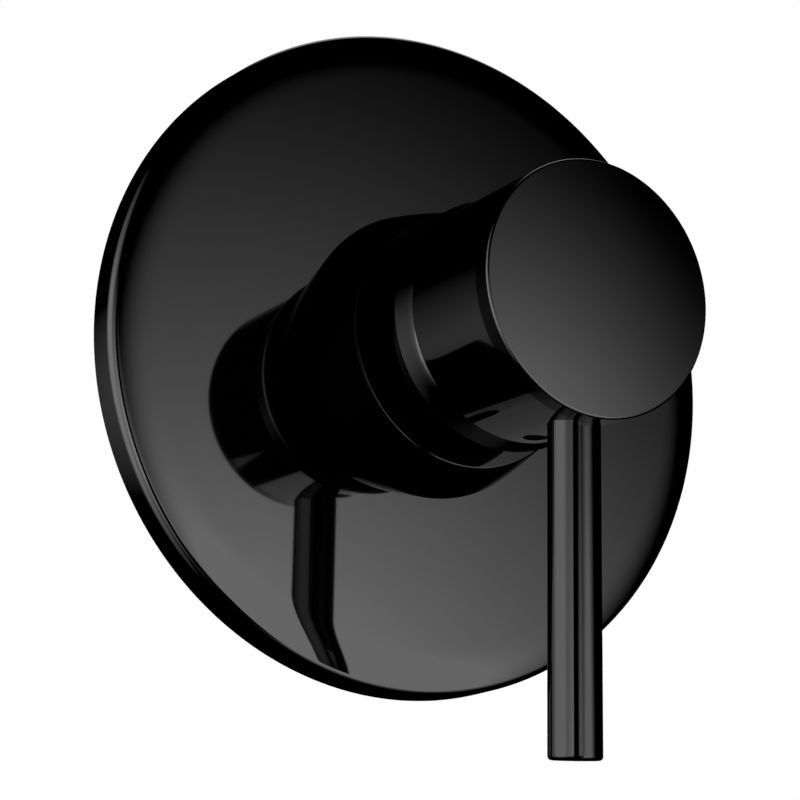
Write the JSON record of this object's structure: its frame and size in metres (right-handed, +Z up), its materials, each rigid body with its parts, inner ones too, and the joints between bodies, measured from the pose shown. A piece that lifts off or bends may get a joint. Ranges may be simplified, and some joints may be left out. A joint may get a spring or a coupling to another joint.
{
  "type": "single-lever shower mixer",
  "caption": "Concealed single-lever shower mixer: round wall plate, tapered bell and cylindrical handle with a pin lever, on a brass body with a ceramic disc cartridge.",
  "frame": {"origin": "centre of the wall plate in the plane of the finished wall", "axes": "-Y out of the wall along the handle's axis, +Z up, lever hanging down along -Z"},
  "size_m": [0.15, 0.1193, 0.1634],
  "materials": {
    "black_plating": "polished black plating",
    "cast_brass": "as cast and machined",
    "spindle_metal": "machined",
    "bright_steel": "turned stainless",
    "cartridge_plastic": "moulded",
    "slider_plastic": "moulded",
    "alumina": "lapped",
    "seal_rubber": "moulded",
    "foam": "closed-cell foam"
  },
  "bodies": {
    "root": {"wall_plate": "black_plating", "plate_gasket": "foam", "bell": "black_plating", "bell_seal": "seal_rubber", "valve_body": "cast_brass", "cartridge_nut": "cast_brass", "cartridge_housing": "cartridge_plastic", "cartridge_base": "cartridge_plastic", "base_seals": "seal_rubber", "fixed_disc": "alumina"},
    "turret": {"stem_turret": "slider_plastic", "pivot_pin": "bright_steel"},
    "handle": {"spindle": "spindle_metal", "spindle_bush": "slider_plastic", "handle_shell": "black_plating", "pin_lever": "black_plating", "lever_stud": "bright_steel", "grub_screw": "bright_steel"},
    "slider": {"disc_carrier": "slider_plastic", "carrier_seal": "seal_rubber", "moving_disc": "alumina"}
  },
  "joints": [
    {"name": "temperature_turn", "type": "hinge", "parent": "root", "child": "turret", "pos_m": [0, 0, 0], "axis": [0, -1, 0], "range_deg": [-50, 50]},
    {"name": "lever_lift", "type": "hinge", "parent": "turret", "child": "handle", "pos_m": [0, -0.02, 0], "axis": [-1, 0, 0], "range_deg": [0, 20]},
    {"name": "disc_slide", "type": "slide", "parent": "turret", "child": "slider", "axis": [0, 0, -1], "range_m": [0, 0.00359]}
  ],
  "couplings": [
    {"joint": "disc_slide", "follows": "lever_lift", "m_per_rad": 0.01}
  ]
}
